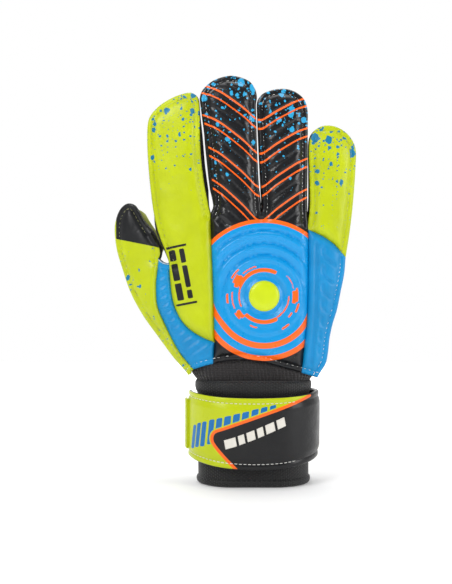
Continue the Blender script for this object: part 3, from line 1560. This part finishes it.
@dataclass
class Dome:
    """The moulded dome in the middle of the round motif, seated in its dish."""

    finishes: Finishes
    radius: float = 10.3
    height: float = 1.7
    rings: int = 14
    steps: int = 64

    def build(self) -> None:
        """Builds the dome as a closed cap."""
        backhand = Backhand(self.finishes)
        plan = backhand.plans()[1]
        centre = np.array([[TARGET.x, TARGET.z]])
        level = float((FORM.back(*centre.T, False) - backhand.lift(plan, centre))[0])
        places = [(TARGET.x, level - self.height, TARGET.z)]
        for ring in range(1, self.rings + 1):
            t = ring / self.rings
            rise = self.height * (1 - t ** 5) - 0.8 * ease(0.94, 1.0, np.array([t]))[0]
            for step in range(self.steps):
                turn = 2 * math.pi * step / self.steps
                places.append((TARGET.x + self.radius * t * math.cos(turn), level - rise,
                               TARGET.z + self.radius * t * math.sin(turn)))
        rim = len(places) - self.steps
        for step in range(self.steps):
            x, _, z = places[rim + step]
            places.append((x, level + 2.4, z))
        faces = [(0, 1 + step, 1 + (step + 1) % self.steps) for step in range(self.steps)]
        for ring in range(self.rings):
            low, high = 1 + ring * self.steps, 1 + (ring + 1) * self.steps
            for step in range(self.steps):
                after = (step + 1) % self.steps
                faces.append((low + step, high + step, high + after, low + after))
        last = 1 + self.rings * self.steps
        faces.append(tuple(last + step for step in range(self.steps)))
        piece = make_mesh("dome_cap", np.array(places), faces)
        piece.data.materials.append(self.finishes.dome)
        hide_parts("backhand_dome")
        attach(piece, "hand")


# ---------------------------------------------------------------- the wrist


@dataclass(frozen=True)
class Oval:
    """An oval of two straight sides and two round ends, measured along its length."""

    half_width: float
    half_depth: float

    @property
    def straight(self) -> float:
        """Half the length of a straight side."""
        return self.half_width - self.half_depth

    @property
    def around(self) -> float:
        """The whole length of the oval."""
        return 4 * self.straight + 2 * math.pi * self.half_depth

    def at(self, run: Points) -> tuple[Points, Points]:
        """Places and outward directions at lengths run from the middle of the front.

        Args:
            run: lengths, negative towards -X.

        Returns:
            The places and the directions in the X-Y plane.
        """
        run = (run + self.around / 2) % self.around - self.around / 2
        side = np.where(run < 0, -1.0, 1.0)
        far = np.abs(run)
        turn = np.clip((far - self.straight) / self.half_depth, 0, math.pi)
        beyond = np.clip(far - self.straight - math.pi * self.half_depth, 0, None)
        x = np.minimum(far, self.straight) + self.half_depth * np.sin(turn) - beyond
        y = -self.half_depth * np.cos(turn)
        return (np.column_stack([side * x, y]),
                np.column_stack([side * np.sin(turn), -np.cos(turn)]))


def band_mesh(
    name: str, oval: Oval, run: Points, profile: Points, relief: Callable[..., Points], closed: bool,
    layers: Callable[[Points, Points], Layers] | None = None,
) -> bpy.types.Object:
    """Sweeps a closed profile along an oval.

    Args:
        name: the piece's name.
        oval: the oval that the profile's zero follows.
        run: the lengths along the oval where the profile stands.
        profile: the profile's (outward, height) points, in order round it.
        relief: a function of (run, height, outward) that gives an extra outward shift.
        closed: whether the sweep goes right round.
        layers: a function of (x, z) that gives the printed layers, or None.

    Returns:
        The piece.
    """
    spots, outward = oval.at(run)
    count, size = len(run), len(profile)
    places = np.zeros((count, size, 3))
    weave = np.zeros((count, size, 3))
    for k, (out, height) in enumerate(profile):
        shift = out + relief(run, np.full(count, height), np.full(count, out))
        places[:, k, :2] = spots + outward * shift[:, None]
        places[:, k, 2] = height
        weave[:, k, 0] = run
        weave[:, k, 1] = height
    faces = []
    for i in range(count if closed else count - 1):
        j = (i + 1) % count
        for k in range(size):
            m = (k + 1) % size
            faces.append((i * size + k, j * size + k, j * size + m, i * size + m))
    if not closed:
        faces.append(tuple(range(size)))
        faces.append(tuple((count - 1) * size + k for k in reversed(range(size))))
    flat = places.reshape(-1, 3)
    values = (layers or plain_layers)(flat[:, 0], flat[:, 2])
    hidden = np.tile(profile[:, 0] < profile[:, 0].max() - 0.6, count)
    for key in values:
        if key.startswith("ink"):
            values[key] = np.where(hidden, NO_INK, values[key])
    return make_mesh(name, flat, faces, values, weave.reshape(-1, 3))


def plain_layers(x: Points, z: Points) -> Layers:
    """The printed layers of a piece with no print."""
    none = np.full(len(x), NO_INK)
    return {ink.value: none for ink in Ink} | {
        "chevron": none, "chevron_mask": np.zeros(len(x)), "spray": np.zeros(len(x))
    }


def rounded_profile(low: float, high: float, inner: float, outer: float, rows: int) -> Points:
    """A band's closed profile with rounded edges.

    Args:
        low: the lower edge's height.
        high: the upper edge's height.
        inner: the inner face's shift.
        outer: the outer face's shift.
        rows: how many rows each face has.

    Returns:
        The (outward, height) points, up the outer face and down the inner one.
    """
    half = (outer - inner) / 2
    middle = (outer + inner) / 2
    turns = np.linspace(-math.pi / 2, math.pi / 2, 7)[1:-1]
    face = np.linspace(low + half, high - half, rows)
    top = [(middle + half * math.cos(t + math.pi / 2), high - half + half * math.sin(t + math.pi / 2))
           for t in turns]
    base = [(middle - half * math.cos(t + math.pi / 2), low + half - half * math.sin(t + math.pi / 2))
            for t in turns]
    return np.array([*((outer, h) for h in face), *top, *((inner, h) for h in face[::-1]), *base])


def no_relief(run: Points, height: Points, out: Points) -> Points:
    """A plain face."""
    return np.zeros(len(run))


@dataclass
class Cuff:
    """The elastic knit at the wrist, the mesh sleeve below it and its bound rim."""

    finishes: Finishes
    rib_pitch: float = 2.3
    knit: Oval = Oval(39.6, 15.6)
    sleeve: Oval = Oval(37.0, 24.0)

    def knit_relief(self, run: Points, height: Points, out: Points) -> Points:
        """Vertical ribs, with the knit drawn in at its foot and swelling above it."""
        rib = 0.32 * np.cos((run + 0.12 * (height - 62)) * 2 * math.pi / self.rib_pitch)
        waist = 1.0 * ease(66, 71, height) - 1.6 * ease(72, 82, height)
        side = ease(24, 38, np.abs(self.knit.at(run)[0][:, 0]))
        flare = side * (2.4 * ease(71, 80, height) - 3.4 * ease(74, 66, height))
        pucker = 0.3 * np.sin(run * 0.33 + 0.2 * height)
        return rib * np.sign(out + 0.01) + waist + flare + pucker

    def build(self) -> None:
        """Builds the three rings."""
        ribs = round(self.knit.around / self.rib_pitch)
        self.rib_pitch = self.knit.around / ribs
        run = np.linspace(-self.knit.around / 2, self.knit.around / 2, ribs * 6, endpoint=False)
        knit = band_mesh("elastic_knit_ring", self.knit, run,
                         rounded_profile(62.5, 86, -1.8, 0.4, 16), self.knit_relief, True)
        knit.data.materials.append(self.finishes.knit)
        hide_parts("wrist_gaiter")
        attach(knit, "hand")
        run = np.linspace(-self.sleeve.around / 2, self.sleeve.around / 2, 220, endpoint=False)
        sleeve = band_mesh("mesh_sleeve", self.sleeve, run, self.sleeve_profile(),
                           self.sleeve_relief, True)
        sleeve.data.materials.append(self.finishes.mesh)
        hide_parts("cuff_sleeve")
        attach(sleeve, "hand")
        rim = band_mesh("cuff_binding", self.sleeve, run, rounded_profile(0, 5, -3.2, 0.8, 5),
                        no_relief, True)
        rim.data.materials.append(self.finishes.mesh)
        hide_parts("cuff_hem")
        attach(rim, "hand")
        LOG.info("cuff: knit, sleeve and rim")

    def sleeve_profile(self) -> Points:
        """The sleeve's wall, drawn in to the knit at its top."""
        outer = [(0, 2), (0, 6), (0, 14), (0, 30), (0, 44), (0, 56), (0.4, 59), (1.6, 61.5), (2.0, 64),
                 (1.9, 66.4), (1.2, 67.6), (-0.8, 68.2), (-7.4, 68.2)]
        inner = [(-8.0, 66.8), (-4.0, 66.4), (-1.6, 65), (-1.0, 60), (-2.2, 44), (-2.4, 30),
                 (-2.4, 14), (-2.4, 2)]
        return np.array(outer + inner)

    def sleeve_relief(self, run: Points, height: Points, out: Points) -> Points:
        """Soft folds that keep the sleeve from looking turned on a lathe."""
        fold = 0.25 * np.sin(run * 0.12 + 0.6) * ease(4, 12, height)
        return fold + 0.12 * np.sin(run * 0.31) - 0.35


@dataclass
class Strap:
    """The printed closure strap, its fixed half, its turn, its pull tab and its raised badge.

    The front hangs a little in its middle, as soft laminate does between its two ends.
    """

    finishes: Finishes
    oval: Oval = Oval(43.2, 30.2)
    low: float = 17.5
    high: float = 61.0
    turn_x: float = 27.0
    sag_high: float = 2.6
    sag_low: float = 5.4
    line_half: float = 1.0  # half the width of the orange line
    line_gap: float = 1.6  # how near the blue bars come to its middle
    stitch_inset: float = 3.6
    stitch_seat: float = 0.12  # how far the thread's middle stands off the face
    end_gap: float = 0.6  # how far the front stops short of the oval's end
    back_end_x: float = 34.0  # where the fixed half ends, on the thumb's side
    tab_low: float = 22.9
    tab_high: float = 55.8
    tab_thick: float = 1.9
    tab_length: float = 9.0
    tab_proud: float = 2.4  # how far the tab stands outside the strap
    badge_x: float = 1.0
    badge_z: float = 39.6
    badge_tilt: float = math.radians(20.5)
    badge_half: float = 2.7  # half a bar's height
    badge_lean: float = 0.45  # how far a bar leans for each half of its height

    def divider(self, x: Points, z: Points) -> Points:
        """The signed distance from the printed divider's line, positive on its dark side."""
        line = smooth_line([(36, 59), (31, 56.8), (3.2, 46.8), (-22, 38), (-25.8, 36.2), (-27.3, 33),
                            (-26.6, 29.4), (-21.7, 23.2), (-13.6, 14.6), (-6, 7)], 0.5)
        points = np.column_stack([x, z])
        away = distance_to(points, line)
        loop = np.vstack([line, [(70, 8)], [(70, 80)], [(36, 80)]])
        return np.where(inside(points, loop), away, -away)

    def layers(self, x: Points, z: Points) -> Layers:
        """The strap's printed layers."""
        z = z - self.drop(x, np.full(len(x), -30.0), z)
        split = self.divider(x, z)
        bars = np.full(len(x), NO_INK)
        blocks = [(-38.8, 2.0, 24.0, 39.7), (-35.9, 2.4, 25.4, 41.5), (-32.4, 2.9, 26.5, 42.7),
                  (-27.6, 3.4, 28.4, 44.4), (-22.7, 3.8, 33, 45.6), (-17.4, 4.3, 33, 47.0),
                  (-11.7, 4.4, 33, 48.4), (-6.0, 4.4, 33, 49.7), (0.1, 4.4, 33, 51.3),
                  (5.8, 4.2, 33, 52.6), (11.5, 3.9, 33, 53.8)]
        for centre, wide, low, top in blocks:
            bars = np.maximum(bars, self.bar(x, z, centre, wide / 2, low, top))
        return plain_layers(x, z) | {
            Ink.LIME.value: -split,
            Ink.BLUE.value: np.minimum(bars, -split - self.line_gap),
            Ink.ORANGE.value: self.line_half - np.abs(split),
        }

    def bar(self, x: Points, z: Points, centre: float, half: float, low: float, high: float) -> Points:
        """The signed distance into one slanted printed bar."""
        lean = centre + 0.1 * (z - high + 4)
        along = z - 0.22 * (x - lean)
        side, end = half - np.abs(x - lean), np.minimum(along - low, high - along)
        corner = 0.9 - np.hypot(np.clip(0.9 - side, 0, None), np.clip(0.9 - end, 0, None))
        return np.minimum(np.minimum(side, end), corner)

    def part(self, name: str, start: float, end: float, printed: bool) -> bpy.types.Object:
        """Makes the stretch of the strap between two lengths along the oval."""
        fine = 0.5 if printed else 1.5
        run = np.linspace(start, end, int(abs(end - start) / fine) + 2)
        rows = int((self.high - self.low) / fine)
        profile = rounded_profile(self.low, self.high, -2.5, 0.0, rows)
        piece = band_mesh(name, self.oval, run, profile, self.relief, False,
                          self.layers if printed else None)
        piece.data.materials.append(self.finishes.strap)
        self.hang(piece)
        return piece

    def hang(self, piece: bpy.types.Object) -> None:
        """Lets a piece of the strap's front hang in its middle."""
        flat = np.empty(3 * len(piece.data.vertices))
        piece.data.vertices.foreach_get("co", flat)
        places = flat.reshape(-1, 3)
        places[:, 2] -= self.drop(*(places / MM).T) * MM
        piece.data.vertices.foreach_set("co", places.ravel())

    def drop(self, x: Points, y: Points, z: Points) -> Points:
        """How far each point of the strap hangs down."""
        t = np.clip((z - self.low) / (self.high - self.low), 0, 1)
        middle = np.clip(1 - (x / self.oval.half_width) ** 2, 0, 1) * np.clip(-y / 14, 0, 1)
        return (self.sag_low + (self.sag_high - self.sag_low) * t) * middle

    def relief(self, run: Points, height: Points, out: Points) -> Points:
        """The padded face, pressed down along its stitched edges."""
        edge = np.minimum(height - self.low, self.high - height)
        swell = 0.9 * ease(3.4, 8, edge) - 0.45 * np.exp(-(((edge - 3.6) / 0.6) ** 2))
        wave = 0.3 * np.sin(run * 0.08 + 0.05 * height)
        return np.where(out > -1.2, swell + wave, 0)

    def build(self) -> None:
        """Builds the strap's pieces."""
        quarter = self.oval.straight + math.pi / 2 * self.oval.half_depth
        turn = self.oval.straight + self.oval.half_depth * math.asin(
            (self.turn_x - self.oval.straight) / self.oval.half_depth)
        back_turn = 2 * quarter - turn
        front = self.part("strap_front", -quarter + self.end_gap, turn, True)
        bend = self.part("strap_turn", turn, back_turn, True)
        end_turn = math.asin((self.back_end_x - self.oval.straight) / self.oval.half_depth)
        back = self.part("strap_back", back_turn, 3 * quarter - self.oval.half_depth
                         * (math.pi / 2 - end_turn), False)
        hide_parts("strap_flap")
        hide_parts("strap_anchor")
        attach(front, "strap")
        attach(back, "hand")
        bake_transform(bend)
        self.stitch(turn, quarter)
        self.tab()
        self.badge()
        LOG.info("strap: front, turn, back, tab and badge")

    def stitch(self, turn: float, quarter: float) -> None:
        """Sews a row along each edge of the strap's front."""
        run = np.arange(-quarter + 5, turn, THREAD.pitch)
        spots, outward = self.oval.at(run)
        level = np.zeros(len(run))
        ups = np.column_stack([outward, level])
        forwards = np.column_stack([-outward[:, 1], outward[:, 0], level])
        acrosses = np.column_stack([level, level, level + 1])
        for name, height in (("strap_stitches_low", self.low + self.stitch_inset),
                             ("strap_stitches_high", self.high - self.stitch_inset)):
            heights = np.full(len(run), height)
            shift = self.relief(run, heights, level) + self.stitch_seat
            centres = np.column_stack([spots + outward * shift[:, None], heights])
            piece = THREAD.sew(name, centres, forwards, acrosses, ups)
            piece.data.materials.append(self.finishes.thread)
            self.hang(piece)
            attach(piece, "strap")

    def tab(self) -> None:
        """Builds the lime pull tab behind the strap's free end."""
        oval = Oval(self.oval.half_width + self.tab_proud, self.oval.half_depth + self.tab_proud)
        reach = oval.straight + math.pi / 2 * oval.half_depth
        run = np.linspace(-reach + self.end_gap, -reach + self.tab_length, 12)
        profile = rounded_profile(self.tab_low, self.tab_high, -self.tab_thick, 0.0, 24)
        piece = band_mesh("pull_tab_end", oval, run, profile, no_relief, False)
        piece.data.materials.append(self.finishes.lime)
        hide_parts("pull_tab")
        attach(piece, "strap")

    def badge(self) -> None:
        """Builds the raised badge: a row of plain slanted bars of changing width."""
        places, faces = [], []
        start, gap = -21.5, 1.6
        for width in (7.4, 4.2, 5.4, 4.2, 6.0, 5.2):
            self.add_bar(places, faces, start, width)
            start += width + gap
        piece = make_mesh("badge_bars", np.array(places), faces, sharp=35)
        piece.data.materials.append(self.finishes.badge)
        self.hang(piece)
        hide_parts("strap_badge")
        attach(piece, "strap")

    def add_bar(self, places: list, faces: list, start: float, width: float) -> None:
        """Adds one raised bar with a bevelled top that follows the strap's curve.

        Args:
            places: the vertices so far.
            faces: the faces so far.
            start: where the bar begins along the row.
            width: the bar's width.
        """
        first = len(places)
        steps = 6
        along, up = math.cos(self.badge_tilt), math.sin(self.badge_tilt)
        for inset, rise in ((0.0, -0.6), (0.0, 0.7), (0.35, 1.05)):
            for k in range(steps + 1):
                for end in (-1, 1):
                    u = start + inset + (width - 2 * inset) * k / steps + self.badge_lean * (end + 1)
                    w = end * (self.badge_half - inset)
                    x = self.badge_x + u * along - w * up
                    z = self.badge_z + u * up + w * along
                    run = np.array([self.run_at(x)])
                    spot, out = self.oval.at(run)
                    swell = self.relief(run, np.array([z]), np.zeros(1))[0]
                    place = spot[0] + out[0] * (swell + rise)
                    places.append((place[0], place[1], z))
        row = 2 * (steps + 1)
        loop = [2 * k for k in range(steps + 1)] + [2 * k + 1 for k in reversed(range(steps + 1))]
        for low in (first, first + row):
            for a, b in zip(loop, loop[1:] + loop[:1]):
                faces.append((low + a, low + b, low + row + b, low + row + a))
        for k in range(steps):
            top, foot = first + 2 * row + 2 * k, first + 2 * k
            faces.append((top, top + 2, top + 3, top + 1))
            faces.append((foot, foot + 1, foot + 3, foot + 2))

    def run_at(self, x: float) -> float:
        """The length along the strap's front where it reaches an x."""
        straight = self.oval.straight
        if abs(x) <= straight:
            return x
        over = min((abs(x) - straight) / self.oval.half_depth, 1.0)
        return math.copysign(straight + self.oval.half_depth * math.asin(over), x)


# ---------------------------------------------------------------- frame parts, studio


def dress_frame_parts(finishes: Finishes) -> None:
    """Gives the CAD parts that stay on show their materials."""
    for name, node in frame["nodes"].items():
        if "spine" in name:
            chosen = finishes.spine
        elif name in ("hook_patch", "loop_patch"):
            chosen = finishes.tape
        else:
            continue
        node.data.materials.clear()
        node.data.materials.append(chosen)


@dataclass
class Studio:
    """A pale floor and backdrop, soft lights and the camera."""

    distance: float = 640.0
    eye_x: float = -18.2
    eye_z: float = 126.0
    frame_height: float = 380.0
    face_depth: float = -17.0
    floor_size: float = 2.2  # in metres, as are the lamps' places and sizes
    lamps: tuple[tuple[str, tuple[float, float, float], float, float], ...] = (
        ("key", (-0.55, -0.75, 0.75), 0.45, 6.6),
        ("fill", (0.8, -0.5, 0.35), 0.4, 3.4),
        ("top", (0.05, 0.1, 0.95), 0.5, 2.5),
        ("back", (-0.2, 0.9, 0.6), 0.8, 2.2),
    )

    def build(self) -> None:
        """Builds the floor, the lights and the camera."""
        bpy.ops.mesh.primitive_plane_add(size=self.floor_size, location=(0, 0, -0.0002))
        floor = bpy.context.object
        floor.name = "floor"
        floor.data.materials.append(Backdrop().build())
        world = bpy.data.worlds.new("studio")
        world.use_nodes = True
        tree = world.node_tree
        way = add_node(tree, "SeparateXYZ", {"Vector": add_node(tree, "TexCoord").outputs["Generated"]})
        glow = add_node(
            tree, "MapRange", {"Value": way.outputs["Y"], "From Min": -0.3, "From Max": 0.55,
                               "To Min": 0.3, "To Max": 1.0}
        )
        background = tree.nodes["Background"]
        background.inputs["Color"].default_value = (1, 1, 1, 1)
        tree.links.new(glow.outputs["Result"], background.inputs["Strength"])
        bpy.context.scene.world = world
        for name, place, size, power in self.lamps:
            self.area(name, place, size, power)
        bpy.context.scene.view_settings.view_transform = "Standard"
        camera = bpy.data.cameras.new("camera")
        camera.sensor_fit = "VERTICAL"
        camera.sensor_height = 36
        camera.lens = 36 * self.distance / self.frame_height
        holder = bpy.data.objects.new("camera", camera)
        holder.location = Vector((self.eye_x, self.face_depth - self.distance, self.eye_z)) * MM
        holder.rotation_euler = (math.pi / 2, 0, 0)
        bpy.context.scene.collection.objects.link(holder)
        bpy.context.scene.camera = holder

    def area(self, name: str, place: tuple[float, float, float], size: float, power: float) -> None:
        """Adds a square soft light that faces the glove."""
        light = bpy.data.lights.new(name, "AREA")
        light.size = size
        light.energy = power
        holder = bpy.data.objects.new(name, light)
        holder.location = place
        aim = Vector((0, 0, 0.13)) - Vector(place)
        holder.rotation_euler = aim.to_track_quat("-Z", "Y").to_euler()
        bpy.context.scene.collection.objects.link(holder)


def main() -> None:
    """Builds every sub-assembly in order."""
    logging.basicConfig(level=logging.INFO, format="%(name)s: %(message)s")
    finishes = Finishes()
    dress_frame_parts(finishes)
    backhand = Backhand(finishes)
    backhand.build()
    Palm(finishes).build()
    Gussets(finishes).build()
    Stitches(finishes, backhand).build()
    Dome(finishes).build()
    Cuff(finishes).build()
    Strap(finishes).build()
    Studio().build()


if __name__ == "__main__":
    main()
